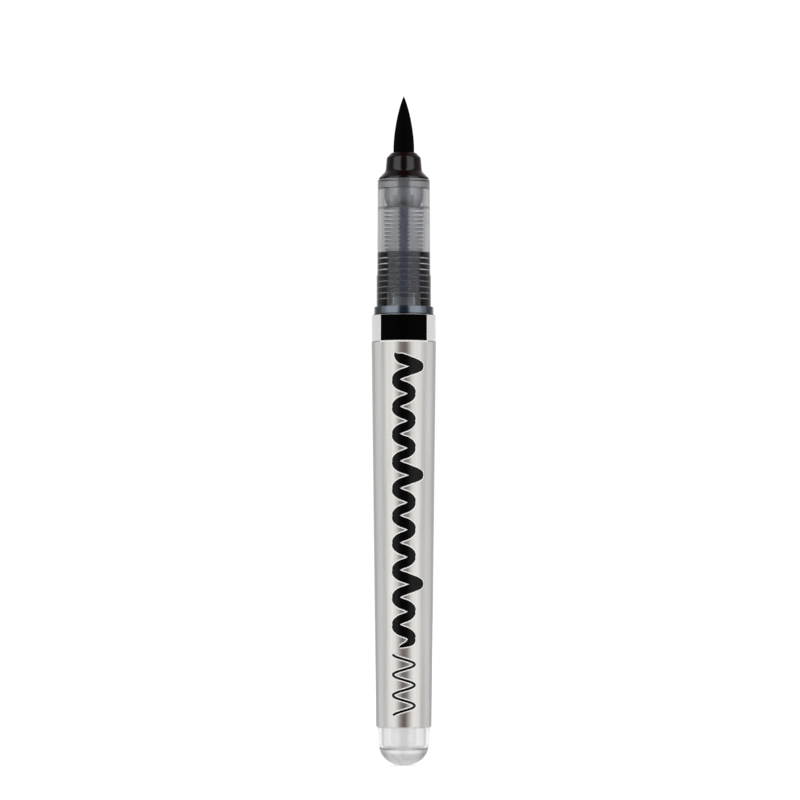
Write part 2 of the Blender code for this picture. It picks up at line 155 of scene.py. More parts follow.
def smooth(made, sharp=SHARP_ANGLE):
    """Shades a piece smooth, but for edges sharper than an angle in degrees."""
    made.data.shade_smooth()
    made.data.set_sharp_from_angle(angle=math.radians(sharp))


def finish(name, mesh, look, body="root", sharp=SHARP_ANGLE):
    """Turns a bmesh into a smooth piece with its material and, if body is given, its body."""
    bmesh.ops.recalc_face_normals(mesh, faces=mesh.faces)
    made = mesh_object(name, mesh)
    smooth(made, sharp)
    made.data.materials.append(look)
    if body:
        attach(made, body)
    return made


def turned_mesh(outline, segments=SHELL_SEGMENTS):
    """A solid of revolution. An outline that starts and ends on the axis is full, any other is a ring."""
    mesh = bmesh.new()
    corners = [mesh.verts.new((r, 0.0, z)) for r, z in outline]
    on_axis = outline[0][0] == 0.0 and outline[-1][0] == 0.0
    ends = corners[1:] if on_axis else corners[1:] + corners[:1]
    edges = [mesh.edges.new(pair) for pair in zip(corners, ends)]
    bmesh.ops.spin(
        mesh,
        geom=corners + edges,
        cent=(0.0, 0.0, 0.0),
        axis=(0.0, 0.0, 1.0),
        angle=2 * math.pi,
        steps=segments,
        use_merge=True,
    )
    bmesh.ops.remove_doubles(mesh, verts=mesh.verts, dist=1e-7)
    return mesh


def turned(name, outline, look, segments=SHELL_SEGMENTS):
    return finish(name, turned_mesh(outline, segments), look)


def paint_inside(made, look, size, low, high):
    """Gives a turned piece's faces within size of the axis, from low to high, another material."""
    made.data.materials.append(look)
    slot_index = len(made.data.materials) - 1
    for face in made.data.polygons:
        centre = face.center
        if math.hypot(centre.x, centre.y) <= size and low <= centre.z <= high:
            face.material_index = slot_index


def box_cut(made, low, high):
    """Cuts a box out of a piece for good."""
    mesh = bmesh.new()
    bmesh.ops.create_cube(mesh, size=1.0)
    for vert in mesh.verts:
        for k in range(3):
            vert.co[k] = low[k] if vert.co[k] < 0 else high[k]
    tool = mesh_object("cutter", mesh)
    modifier = made.modifiers.new("cut", "BOOLEAN")
    modifier.operation = "DIFFERENCE"
    modifier.object = tool
    modifier.solver = "MANIFOLD"
    bpy.context.view_layer.update()
    cut = bpy.data.meshes.new_from_object(made.evaluated_get(bpy.context.evaluated_depsgraph_get()))
    made.modifiers.clear()
    made.data = cut
    bpy.data.objects.remove(tool)


# ---- materials


def math_node(tree, operation, *values):
    node = tree.nodes.new("ShaderNodeMath")
    node.operation = operation
    for socket, value in zip(node.inputs, values):
        if isinstance(value, float):
            socket.default_value = value
        else:
            tree.links.new(value, socket)
    return node.outputs["Value"]


def map_range(tree, value, low, high, to_low, to_high, smooth=False):
    node = tree.nodes.new("ShaderNodeMapRange")
    if smooth:
        node.interpolation_type = "SMOOTHSTEP"
    numbers = {"From Min": low, "From Max": high, "To Min": to_low, "To Max": to_high}
    for socket, number in numbers.items():
        node.inputs[socket].default_value = number
    tree.links.new(value, node.inputs["Value"])
    return node.outputs["Result"]


def colour_ramp(tree, value, stops):
    node = tree.nodes.new("ShaderNodeValToRGB")
    elements = node.color_ramp.elements
    while len(elements) < len(stops):
        elements.new(0.5)
    for element, (position, colour) in zip(elements, stops):
        element.position = position
        element.color = (*colour, 1.0)
    tree.links.new(value, node.inputs["Fac"])
    return node.outputs["Color"]


class Look:
    """A Principled material, with short calls for the nodes that vary it over the surface."""

    def __init__(self, name, **constants):
        self.material = bpy.data.materials.new(name)
        self.material.use_nodes = True
        self.tree = self.material.node_tree
        self.nodes = self.tree.nodes
        self.links = self.tree.links
        self.shader = self.nodes["Principled BSDF"]
        for socket, value in constants.items():
            self.shader.inputs[socket.replace("_", " ")].default_value = value

    def places(self, stretch=(1.0, 1.0, 1.0)):
        """Places on the piece in metres, each axis multiplied by its stretch."""
        source = self.nodes.new("ShaderNodeTexCoord")
        mapping = self.nodes.new("ShaderNodeMapping")
        mapping.inputs["Scale"].default_value = stretch
        self.links.new(source.outputs["Object"], mapping.inputs["Vector"])
        return mapping.outputs["Vector"]

    def noise(self, size, detail, stretch=(1.0, 1.0, 1.0)):
        """Soft noise whose features are about size across, before the stretch."""
        texture = self.nodes.new("ShaderNodeTexNoise")
        texture.inputs["Scale"].default_value = 1.0 / size
        texture.inputs["Detail"].default_value = detail
        self.links.new(self.places(stretch), texture.inputs["Vector"])
        return texture.outputs["Fac"]

    def height(self):
        """Height above the marker's rear end, in metres."""
        split = self.nodes.new("ShaderNodeSeparateXYZ")
        self.links.new(self.places(), split.inputs["Vector"])
        return split.outputs["Z"]

    def facing(self):
        """0 where the surface faces the eye, near 1 where it turns away."""
        return self.nodes.new("ShaderNodeLayerWeight").outputs["Facing"]

    def upright(self):
        """1 where the surface stands upright, 0 where it lies level."""
        source = self.nodes.new("ShaderNodeTexCoord")
        split = self.nodes.new("ShaderNodeSeparateXYZ")
        self.links.new(source.outputs["Normal"], split.inputs["Vector"])
        tilt = self.calc("ABSOLUTE", split.outputs["Z"])
        return self.spread(tilt, 0.3, 0.8, 1.0, 0.0, smooth=True)

    def spread(self, value, low, high, to_low=0.0, to_high=1.0, smooth=False):
        """Maps value from low..high to to_low..to_high."""
        return map_range(self.tree, value, low, high, to_low, to_high, smooth)

    def step(self, value, low, high):
        """Rises smoothly from 0 at low to 1 at high."""
        return self.spread(value, low, high, smooth=True)

    def calc(self, operation, *values):
        return math_node(self.tree, operation, *values)

    def plus(self, first, second):
        return self.calc("ADD", first, second)

    def times(self, first, second):
        return self.calc("MULTIPLY", first, second)

    def ramp(self, value, *stops):
        """Colours along value, each stop a (position, colour)."""
        return colour_ramp(self.tree, value, stops)

    def tints(self, value, low, high):
        """Two colours over the middle of a noise."""
        return self.ramp(value, (0.3, low), (0.7, high))

    def mix(self, factor, first, second):
        node = self.nodes.new("ShaderNodeMix")
        node.data_type = "RGBA"
        for socket, value in ((node.inputs[0], factor), (node.inputs[6], first), (node.inputs[7], second)):
            self.links.new(value, socket)
        return node.outputs[2]

    def drive(self, socket, value):
        """Lets a node's output set one of the shader's sockets."""
        self.links.new(value, self.shader.inputs[socket])

    def colour(self, value):
        self.drive("Base Color", value)

    def roughness(self, value, low, high):
        """Roughness runs from low to high over the middle of a noise."""
        self.drive("Roughness", self.spread(value, 0.3, 0.7, low, high))

    def bump(self, value, depth):
        node = self.nodes.new("ShaderNodeBump")
        node.inputs["Distance"].default_value = depth
        self.links.new(value, node.inputs["Height"])
        self.drive("Normal", node.outputs["Normal"])

    def surfaced(self, rough_noise, rough_range, bump_noise, depth):
        """The finished material, with its roughness and its bump from a noise each."""
        self.roughness(self.noise(*rough_noise), *rough_range)
        self.bump(self.noise(*bump_noise), depth)
        return self.material


LENGTHWISE = (1.0, 1.0, 0.02)


def smoke_look(inked_head):
    """Smoke-tinted tube, painted darker at its sides, where it turns away from the eye, as painted shade for
    light that runs along the wall; darkest below inked_head, where ink wets the wall."""
    look = Look("smoke_plastic", Transmission_Weight=1.0, IOR=1.49, Specular_Tint=(0.1, 0.1, 0.1, 1.0))
    mottle = look.noise(2.5 * MM, 2.0)
    middle = look.tints(mottle, (0.80, 0.81, 0.83), (0.86, 0.865, 0.875))
    # Painted shade: the edge and rim colours darken the tube where it turns away from the eye.
    edge = look.tints(mottle, (0.33, 0.33, 0.32), (0.38, 0.38, 0.365))
    dry_rim_shade = look.tints(mottle, (0.15, 0.15, 0.145), (0.18, 0.18, 0.175))
    inked_rim_shade = look.tints(mottle, (0.035, 0.036, 0.04), (0.05, 0.051, 0.055))
    dry = look.step(look.height(), inked_head - 0.2 * MM, inked_head + 0.2 * MM)
    rim = look.mix(dry, inked_rim_shade, dry_rim_shade)
    aside = look.mix(look.step(look.facing(), 0.42, 0.62), edge, rim)
    look.colour(look.mix(look.step(look.facing(), 0.31, 0.37), middle, aside))
    return look.surfaced((0.6 * MM, 4.0), (0.03, 0.08), (0.5 * MM, 2.0, LENGTHWISE), 0.002 * MM)


def inked_bore_look(fins_foot, fins_pitch, grip_step):
    """The rear bore, wetted with ink that parts in thin lines at the fins, where light from behind comes
    through, which a little glow stands for. Its colour is painted darker at the sides, where it turns away
    from the eye, as painted shade."""
    look = Look("inked_smoke", IOR=1.49)
    facing = look.facing()
    height = look.height()
    pitches = look.calc("DIVIDE", look.calc("SUBTRACT", height, fins_foot), fins_pitch)
    steps = look.calc("FLOORED_MODULO", pitches, 1.0)
    lines = look.ramp(
        steps,
        (0.0, (0.80, 0.81, 0.83)),
        (0.05, (0.85, 0.86, 0.88)),
        (0.12, (0.013, 0.015, 0.020)),
        (0.5, (0.004, 0.0045, 0.007)),
        (0.94, (0.010, 0.011, 0.015)),
        (1.0, (0.70, 0.71, 0.73)),
    )
    wetted = look.ramp(
        steps,
        (0.0, (0.20, 0.22, 0.27)),
        (0.08, (0.21, 0.23, 0.28)),
        (0.2, (0.090, 0.102, 0.135)),
        (0.5, (0.115, 0.130, 0.168)),
        (0.85, (0.095, 0.108, 0.142)),
        (1.0, (0.19, 0.21, 0.26)),
    )
    mottle = look.noise(0.8 * MM, 3.0)
    # Painted shade: the next two colours darken the bore at its sides, where it turns away from the eye.
    ink = look.tints(mottle, (0.004, 0.005, 0.009), (0.010, 0.012, 0.018))
    foot_side_shade = look.tints(mottle, (0.030, 0.032, 0.040), (0.045, 0.047, 0.056))
    bare = look.tints(mottle, (0.66, 0.68, 0.72), (0.78, 0.79, 0.82))
    finned = look.step(height, fins_foot - 0.3 * MM, fins_foot + 0.1 * MM)
    lined = look.spread(height, fins_foot - fins_pitch - 0.2 * MM, fins_foot - fins_pitch - 0.1 * MM)
    in_grip_foot = look.spread(height, grip_step - 0.2 * MM, grip_step + 0.2 * MM, 1.0, 0.0, smooth=True)
    clearness = look.times(look.spread(in_grip_foot, 0.0, 1.0, 1.0, 0.3), lined)
    # Painted shade: the colour at the sides, with the bright lines in it.
    thick = look.mix(clearness, look.mix(look.times(in_grip_foot, finned), ink, foot_side_shade), lines)
    aside = look.step(facing, 0.085, 0.125)
    look.colour(look.mix(aside, look.mix(finned, bare, wetted), thick))
    film = look.spread(finned, 0.0, 1.0, 1.0, 0.55)
    # Painted shade: the bore lets less light through where it turns away from the eye.
    thin = look.spread(aside, 0.0, 1.0, 1.0, 0.0)
    look.drive("Transmission Weight", look.times(thin, film))
    look.drive("Specular IOR Level", look.spread(aside, 0.0, 1.0, 0.5, 0.05))
    look.drive("Emission Color", lines)
    glow = look.times(look.spread(facing, 0.12, 0.3, 0.3, 1.4), look.times(aside, clearness))
    look.drive("Emission Strength", glow)
    look.roughness(look.noise(0.5 * MM, 3.0), 0.05, 0.1)
    return look.material


def frosted_bore_look(line_height):
    """The front bore, less polished than the outside, painted darker at its sides, where it turns away from
    the eye, as painted shade, and with a darker line at the adapter's foot.
    """
    look = Look("frosted_smoke", IOR=1.49)
    height = look.height()
    rise = look.step(height, line_height - 0.45 * MM, line_height - 0.1 * MM)
    fall = look.spread(height, line_height + 0.05 * MM, line_height + 0.4 * MM, 1.0, 0.0, smooth=True)
    line = look.times(rise, fall)
    mottle = look.noise(1.8 * MM, 2.0)
    middle = look.tints(mottle, (0.72, 0.73, 0.75), (0.80, 0.805, 0.815))
    # Painted shade: the side colour darkens the bore where it turns away from the eye.
    side = look.tints(mottle, (0.23, 0.235, 0.25), (0.30, 0.305, 0.32))
    smoke = look.mix(look.spread(look.facing(), 0.05, 0.6), middle, side)
    # The colour of the darker, less clear line at the adapter's foot.
    ink = look.tints(look.noise(0.5 * MM, 3.0), (0.05, 0.055, 0.07), (0.10, 0.105, 0.12))
    look.colour(look.mix(look.times(line, 0.8), smoke, ink))
    look.drive("Transmission Weight", look.spread(line, 0.0, 1.0, 1.0, 0.45))
    look.roughness(look.noise(0.4 * MM, 3.0), 0.05, 0.09)
    return look.material


def adapter_look(spigot_foot, ring_foot):
    """Smoke moulding, deeper in its ring, darker towards the foot of its spigot, and painted darker where it
    turns away from the eye, as painted shade.
    """
    look = Look("smoke_adapter", Transmission_Weight=0.97, IOR=1.49)
    height = look.height()
    mottle = look.noise(1.5 * MM, 2.0)
    spigot = look.tints(mottle, (0.36, 0.365, 0.375), (0.43, 0.435, 0.445))
    ring = look.tints(mottle, (0.21, 0.215, 0.225), (0.25, 0.255, 0.265))
    # Painted shade: the edge colour darkens the adapter where it turns away from the eye.
    edge = look.tints(mottle, (0.29, 0.295, 0.30), (0.34, 0.345, 0.35))
    core = look.mix(look.spread(height, ring_foot - 0.1 * MM, ring_foot), spigot, ring)
    smoke_and_side_shade = look.mix(look.step(look.facing(), 0.3, 0.4), core, edge)
    # Darker towards the foot of the spigot.
    spigot_foot_tint = look.tints(mottle, (0.14, 0.145, 0.16), (0.20, 0.205, 0.22))
    above_spigot_foot = look.step(height, spigot_foot + 0.8 * MM, spigot_foot + 1.9 * MM)
    look.colour(look.mix(above_spigot_foot, spigot_foot_tint, smoke_and_side_shade))
    return look.surfaced((0.5 * MM, 4.0), (0.04, 0.09), (0.4 * MM, 2.0, LENGTHWISE), 0.002 * MM)


def clear_look():
    look = Look("clear_plastic", Transmission_Weight=1.0, IOR=1.49)
    look.colour(look.tints(look.noise(3.0 * MM, 2.0), (0.93, 0.935, 0.935), (0.97, 0.97, 0.97)))
    return look.surfaced((0.8 * MM, 4.0), (0.03, 0.09), (1.5 * MM, 2.0), 0.01 * MM)


def plug_look(dome_head):
    """Clear end, cloudy in its solid dome up to just below dome_head."""
    look = Look("clear_rear_plastic", Transmission_Weight=0.97, IOR=1.49)
    mottle = look.noise(0.9 * MM, 3.0, (1.0, 1.0, 0.6))
    cloudy = look.tints(mottle, (0.28, 0.283, 0.285), (0.42, 0.422, 0.425))
    clear = look.tints(mottle, (0.95, 0.955, 0.955), (0.98, 0.98, 0.98))
    up = look.step(look.height(), dome_head - 1.15 * MM, dome_head - 0.05 * MM)
    look.colour(look.mix(up, cloudy, clear))
    rough = look.spread(look.height(), dome_head - 1.15 * MM, dome_head - 0.05 * MM, 0.22, 0.06)
    look.drive("Roughness", look.plus(rough, look.spread(mottle, 0.3, 0.7, -0.03, 0.03)))
    look.bump(look.noise(1.3 * MM, 2.0), 0.005 * MM)
    return look.material


def misted_look():
    """The inside of the clear end, misted from the mould, but painted clear and paler where it turns away
    from the eye, a painted stand-in for light that runs along the wall.
    """
    look = Look("misted_plastic", IOR=1.49)
    # Painted light: clearer and paler where the inside turns away from the eye.
    clear = look.step(look.facing(), 0.2, 0.27)
    mist = look.tints(look.noise(1.1 * MM, 3.0), (0.80, 0.80, 0.80), (0.87, 0.87, 0.87))
    bare = look.tints(look.noise(1.1 * MM, 3.0), (0.98, 0.98, 0.98), (0.995, 0.995, 0.995))
    look.colour(look.mix(clear, mist, bare))
    look.drive("Transmission Weight", look.spread(clear, 0.0, 1.0, 0.84, 1.0))
    rough = look.spread(look.noise(0.7 * MM, 3.0), 0.3, 0.7, 0.06, 0.12)
    look.drive("Roughness", rough)
    return look.material


def black_plastic_look():
    """Polished black moulding, duller where it turns away, with a faint red cast painted there: a painted
    reflection.
    """
    look = Look("black_plastic", IOR=1.5)
    mottle = look.noise(1.2 * MM, 3.0)
    middle = look.tints(mottle, (0.0008, 0.0006, 0.0008), (0.0022, 0.0018, 0.0020))
    # Painted reflection: a faint red cast where the moulding turns away from the eye.
    aside = look.tints(mottle, (0.006, 0.0014, 0.0018), (0.011, 0.0028, 0.0034))
    turned_away = look.step(look.facing(), 0.12, 0.4)
    look.colour(look.mix(turned_away, middle, aside))
    sheen = look.spread(look.facing(), 0.14, 0.28, 0.54, 0.1, smooth=True)
    look.drive("Specular IOR Level", sheen)
    return look.surfaced((0.35 * MM, 5.0), (0.08, 0.14), (0.25 * MM, 3.0), 0.001 * MM)


def silver_look():
    """Satin metallised film with fine lengthwise grain, its colour painted brighter towards the sides and
    darker at the very rim, by how far it turns from the eye: a painted reflection.
    """
    look = Look("silver_film", Metallic=0.92, IOR=1.5)
    grain = look.noise(0.22 * MM, 4.0, LENGTHWISE)
    broad = look.noise(0.9 * MM, 2.0, LENGTHWISE)
    mixed = look.plus(look.times(grain, 0.35), look.times(broad, 0.65))
    # Painted reflection: brighter towards the sides and darker at the very rim, by how far the film turns
    # from the eye.
    face = look.ramp(mixed, (0.32, (0.495, 0.484, 0.468)), (0.68, (0.635, 0.624, 0.608)))
    edge = look.ramp(mixed, (0.32, (0.76, 0.75, 0.735)), (0.68, (0.90, 0.89, 0.875)))
    rim = look.ramp(mixed, (0.32, (0.36, 0.355, 0.35)), (0.68, (0.46, 0.455, 0.45)))
    aside = look.mix(look.step(look.facing(), 0.45, 0.75), edge, rim)
    look.colour(look.mix(look.step(look.facing(), 0.2, 0.38), face, aside))
    look.roughness(mixed, 0.28, 0.37)
    look.bump(grain, 0.0015 * MM)
    return look.material


def pale_film_look():
    look = Look("pale_film", IOR=1.5, Coat_Weight=0.4, Coat_Roughness=0.1)
    look.colour(look.tints(look.noise(0.2 * MM, 4.0, LENGTHWISE), (0.85, 0.855, 0.85), (0.88, 0.885, 0.88)))
    return look.surfaced((0.6 * MM, 3.0), (0.28, 0.4), (0.3 * MM, 2.0, LENGTHWISE), 0.0015 * MM)


def print_look(name, low, high, rough_low, rough_high, specular, glow=0.0):
    look = Look(name, IOR=1.45, Specular_IOR_Level=specular, Emission_Strength=glow)
    look.shader.inputs["Emission Color"].default_value = (1.0, 1.0, 1.0, 1.0)
    look.colour(look.tints(look.noise(0.3 * MM, 5.0), low, high))
    return look.surfaced((0.2 * MM, 4.0), (rough_low, rough_high), (0.15 * MM, 2.0), 0.001 * MM)


def bristle_look():
    look = Look("bristle", IOR=1.45, Specular_IOR_Level=0.03)
    strands = look.noise(0.08 * MM, 3.0, (1.0, 1.0, 0.05))
    look.colour(look.tints(strands, (0.0003, 0.0003, 0.0004), (0.0016, 0.0016, 0.002)))
    look.roughness(strands, 0.5, 0.75)
    look.bump(strands, 0.01 * MM)
    return look.material


def flange_look(plug_foot):
    """Blue-grey satin moulding with ink behind it, duller on the plug above plug_foot. Its colour is painted
    by how far it turns from the eye, as painted reflection, highlight and shade: navy on the collar where it
    faces the eye, darker where it turns away, and on the plug a pale streak at each side, with a little glow
    where it faces the eye."""
    look = Look("collector_plastic", Metallic=0.9, IOR=1.5)
    mottle = look.noise(1.6 * MM, 3.0)
    facing = look.facing()
    # Painted reflection and shade: navy where the collar faces the eye, darker at the edge where it turns
    # away.
    middle = look.tints(mottle, (0.145, 0.170, 0.210), (0.175, 0.200, 0.240))
    navy = look.tints(mottle, (0.045, 0.11, 0.17), (0.06, 0.13, 0.20))
    edge = look.tints(mottle, (0.035, 0.038, 0.05), (0.05, 0.053, 0.065))
    collar = look.mix(look.step(facing, 0.004, 0.02), navy, middle)
    # Painted highlight: on the plug the colour follows how far it turns from the eye, with a pale streak at
    # each side.
    plug = look.ramp(
        facing,
        (0.0, (0.26, 0.28, 0.33)),
        (0.018, (0.22, 0.24, 0.28)),
        (0.035, (0.13, 0.145, 0.18)),
        (0.085, (0.15, 0.165, 0.20)),
        (0.105, (0.62, 0.64, 0.62)),
        (0.135, (0.16, 0.17, 0.19)),
        (0.25, (0.11, 0.12, 0.14)),
    )
    on_plug = look.spread(look.height(), plug_foot, plug_foot + 0.1 * MM)
    look.colour(look.mix(look.step(facing, 0.26, 0.42), look.mix(on_plug, collar, plug), edge))
    look.drive("Emission Color", plug)
    # Painted light: the plug glows a little where it faces the eye.
    through = look.times(look.spread(facing, 0.01, 0.06, 0.2, 0.0, smooth=True), on_plug)
    look.drive("Emission Strength", through)
    rough = look.spread(look.noise(0.5 * MM, 4.0), 0.3, 0.7, 0.12, 0.2)
    dull = look.plus(look.times(on_plug, 0.16), rough)
    look.drive("Roughness", dull)
    look.bump(look.noise(0.6 * MM, 2.0, LENGTHWISE), 0.003 * MM)
    return look.material


def collector_look(inked_head, clear_foot):
    """Frosted smoke plastic. Below inked_head ink stands between the fins, above clear_foot they are dry and
    scatter light among themselves, which a little glow stands for."""
    look = Look("collector_fins", IOR=1.5, Specular_IOR_Level=0.0)
    dry_zone = look.step(look.height(), inked_head, clear_foot)
    mottle = look.noise(0.9 * MM, 3.0)
    inked = look.tints(mottle, (0.030, 0.034, 0.046), (0.065, 0.070, 0.088))
    dry = look.tints(mottle, (0.07, 0.073, 0.08), (0.09, 0.093, 0.10))
    look.colour(look.mix(dry_zone, inked, dry))
    lit = look.tints(mottle, (0.50, 0.505, 0.51), (0.57, 0.575, 0.58))
    # Painted shade in the glow: darker and bluer on upright faces that turn away from the eye.
    rim = look.tints(mottle, (0.12, 0.15, 0.20), (0.18, 0.21, 0.26))
    turned_away = look.step(look.facing(), 0.25, 0.5)
    glow = look.mix(look.times(turned_away, look.upright()), lit, rim)
    look.drive("Emission Color", glow)
    look.drive("Emission Strength", look.times(dry_zone, 0.42))
    return look.surfaced((0.3 * MM, 3.0), (0.3, 0.45), (0.2 * MM, 2.0), 0.003 * MM)


def core_look(inked_head, clear_foot, stem_foot):
    """The collector's core, seen down the air slot: blue-grey, painted darkest in the middle and paler where
    it turns away from the eye, and palest in the adapter, where most light reaches it; it glows in these
    colours, all painted light."""
    look = Look("collector_core", IOR=1.5, Specular_IOR_Level=0.1)
    dry_zone = look.step(look.height(), inked_head, clear_foot)
    stem = look.step(look.height(), stem_foot - 0.3 * MM, stem_foot + 0.3 * MM)
    mottle = look.noise(0.5 * MM, 3.0)
    wet = look.tints(mottle, (0.17, 0.19, 0.24), (0.23, 0.25, 0.30))
    dry = look.tints(mottle, (0.13, 0.145, 0.185), (0.18, 0.20, 0.245))
    pale = look.tints(mottle, (0.36, 0.37, 0.40), (0.44, 0.45, 0.48))
    lit = look.tints(mottle, (0.34, 0.355, 0.38), (0.42, 0.435, 0.46))
    middle = look.mix(stem, look.mix(dry_zone, wet, dry), pale)
    # Painted light: paler where the core turns away from the eye.
    shade = look.mix(look.step(look.facing(), 0.08, 0.3), middle, lit)
    look.colour(shade)
    # Painted light: the core glows in its own colours.
    look.drive("Emission Color", shade)
    wet_glow = look.spread(dry_zone, 0.0, 1.0, 0.6, 0.3)
    look.drive("Emission Strength", look.plus(wet_glow, look.times(stem, 0.5)))
    look.roughness(look.noise(0.3 * MM, 3.0), 0.35, 0.5)
    return look.material


def wick_look(stem_foot):
    look = Look("wick_fibre", IOR=1.4, Specular_IOR_Level=0.3)
    fibre = look.noise(0.06 * MM, 4.0, (1.0, 1.0, 0.04))
    dark = look.tints(fibre, (0.035, 0.042, 0.065), (0.075, 0.085, 0.12))
    pale = look.tints(fibre, (0.34, 0.35, 0.39), (0.46, 0.47, 0.51))
    # Painted light: the wick is pale where it runs up into the adapter, and it glows, most there.
    stem = look.step(look.height(), stem_foot, stem_foot + 0.5 * MM)
    shade = look.mix(stem, dark, pale)
    look.colour(shade)
    look.drive("Emission Color", shade)
    look.drive("Emission Strength", look.spread(stem, 0.0, 1.0, 0.1, 0.8))
    look.roughness(fibre, 0.6, 0.9)
    look.bump(fibre, 0.02 * MM)
    return look.material


def plain_moulding_look(name, low, high):
    look = Look(name, IOR=1.5)
    look.colour(look.tints(look.noise(0.8 * MM, 3.0), low, high))
    return look.surfaced((0.4 * MM, 3.0), (0.35, 0.55), (0.2 * MM, 3.0), 0.003 * MM)


# ---- rear end and barrel

sleeve_foot = foot("label_sleeve")
sleeve_head = head("label_sleeve")
band_head = head("colour_band")
mouth = head("barrel")
sleeve_head_radius = radius("label_sleeve")

SLEEVE_FOOT_RADIUS = 5.54 * MM
PLUG_SHOULDER_RADIUS = 5.36 * MM
DOME_RADIUS = 5.0 * MM
DOME_HEIGHT = 4.14 * MM
DOME_FLAT_RADIUS = 1.0 * MM
DOME_STEPS = 28
PLUG_FLOOR = 3.3 * MM
PLUG_SPIGOT_WALL = 0.5 * MM
PLUG_CAVITY_ROUND = 1.0 * MM


def film_radius(height):
    """Outer radius of the film round the barrel: a cone up to the band, then a cylinder."""
    share = min((height - sleeve_foot) / (sleeve_head - sleeve_foot), 1.0)
    return SLEEVE_FOOT_RADIUS + share * (sleeve_head_radius - SLEEVE_FOOT_RADIUS)


def barrel_radius(height):
    return film_radius(height) - FILM_THICKNESS - FILM_GAP


def bore_radius(height):
    return barrel_radius(height) - BARREL_WALL


def rear_plug(look, misted):
    shoulder = sleeve_foot - SEAT_GAP
    spigot = bore_radius(sleeve_foot) - FIT_GAP
    cavity = spigot - PLUG_SPIGOT_WALL
    first = math.asin(DOME_FLAT_RADIUS / DOME_RADIUS)
    flat_height = DOME_HEIGHT * (1 - math.cos(first))
    outline = [(0.0, 0.0)]
    for step in range(DOME_STEPS + 1):
        angle = first + (math.pi / 2 - first) * step / DOME_STEPS
        outline.append((DOME_RADIUS * math.sin(angle), DOME_HEIGHT * (1 - math.cos(angle)) - flat_height))
    outline += rounded(
        (PLUG_SHOULDER_RADIUS, shoulder, 0.12 * MM),
        (spigot, shoulder),
        (spigot, head("rear_plug"), 0.15 * MM),
        (cavity, head("rear_plug")),
        (cavity, PLUG_FLOOR, PLUG_CAVITY_ROUND),
        (0.0, PLUG_FLOOR),
    )
    made = turned("clear_rear_plug", outline, look)
    paint_inside(made, misted, cavity, PLUG_FLOOR, head("rear_plug") - 0.1 * MM)
    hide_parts("rear_plug")


def barrel(look):
    outline = rounded(
        (bore_radius(sleeve_foot), foot("barrel")),
        (barrel_radius(sleeve_foot), foot("barrel")),
        (barrel_radius(sleeve_head), sleeve_head),
        (barrel_radius(mouth), mouth, 0.15 * MM),
        (bore_radius(mouth), mouth, 0.15 * MM),
        (bore_radius(sleeve_head), sleeve_head),
    )
    made = turned("barrel_tube", outline, look)
    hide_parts("barrel")


# ---- printed films

SEAM_HALF_WIDTH = 1.6 * MM
SEAM_THICKNESS = 0.03 * MM
SEAM_STEPS = 16
SEAM_INSET = 0.002  # share of the film left free at each end
SHEET_STEPS = 16
STROKE_STEPS = 8
FILM_STEP_HEIGHT = 0.7 * MM  # below the band's top edge, where the clear film ends under the print
FILM_STEP = 0.06 * MM
FILM_STEP_WIDTH = 0.1 * MM
CLEAR_FILM_DROP = 0.01 * MM
PATCH_HALF_WIDTH = 4.98 * MM
PATCH_UNDER = 0.04 * MM
PATCH_OVER = 0.13 * MM
PATCH_MARGIN = 0.3 * MM
PATCH_MARGIN_UNDER = 0.005 * MM
PATCH_MARGIN_OVER = 0.03 * MM
PATCH_MARGIN_BELOW = 0.32 * MM
PATCH_MARGIN_ABOVE = 0.02 * MM


def sleeve(look):
    outline = rounded(
        (film_radius(sleeve_foot) - FILM_THICKNESS, sleeve_foot),
        (film_radius(sleeve_foot), sleeve_foot, EDGE_ROUND),
        (film_radius(sleeve_head), sleeve_head, EDGE_ROUND),
        (film_radius(sleeve_head) - FILM_THICKNESS, sleeve_head),
    )
    made = turned("silver_sleeve", outline, look)
    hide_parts("label_sleeve")


def band(look):
    low = foot("colour_band")
    step = band_head - FILM_STEP_HEIGHT
    outer = film_radius(band_head)
    clear = outer - CLEAR_FILM_DROP
    outline = rounded(
        (outer - FILM_THICKNESS, low),
        (outer, low),
        (outer, step),
        (outer - FILM_STEP, step),
        (outer - FILM_STEP, step + FILM_STEP_WIDTH),
        (clear, step + FILM_STEP_WIDTH),
        (clear, band_head, EDGE_ROUND),
        (outer - FILM_THICKNESS, band_head),
    )
    made = turned("pale_band", outline, look)
    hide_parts("colour_band")


def close_sheet(mesh, inner, outer):
    """Faces of a thin closed sheet between two grids of corners."""
    for grid in (inner, outer):
        for low, high in zip(grid, grid[1:]):
            for a, b, c, d in zip(low, low[1:], high, high[1:]):
                mesh.faces.new((a, b, d, c))
    for side in (0, -1):
        for a, b, c, d in zip(inner, inner[1:], outer, outer[1:]):
            mesh.faces.new((a[side], b[side], d[side], c[side]))
        for a, b, c, d in zip(inner[side], inner[side][1:], outer[side], outer[side][1:]):
            mesh.faces.new((a, b, d, c))


def on_barrel(mesh, height, along, lift):
    """A corner lift above the film, along being its distance round the barrel from the front's middle."""
    size = film_radius(height)
    return mesh.verts.new(polar(size + lift, along / size - math.pi / 2, height))


def wrapped(name, rows, under, over, look):
    """A thin print or film wrapped round the barrel. Each row is (height, left, right): the distances round
    the barrel from the middle of the front. It lies from under to over above the film."""
    mesh = bmesh.new()
    layers = [
        [
            [
                on_barrel(mesh, height, left + (right - left) * step / SHEET_STEPS, lift)
                for step in range(SHEET_STEPS + 1)
            ]
            for height, left, right in rows
        ]
        for lift in (under, over)
    ]
    close_sheet(mesh, *layers)
    return finish(name, mesh, look)


def straight_rows(low, high, left, right, steps=8):
    return [(low + (high - low) * i / steps, left, right) for i in range(steps + 1)]


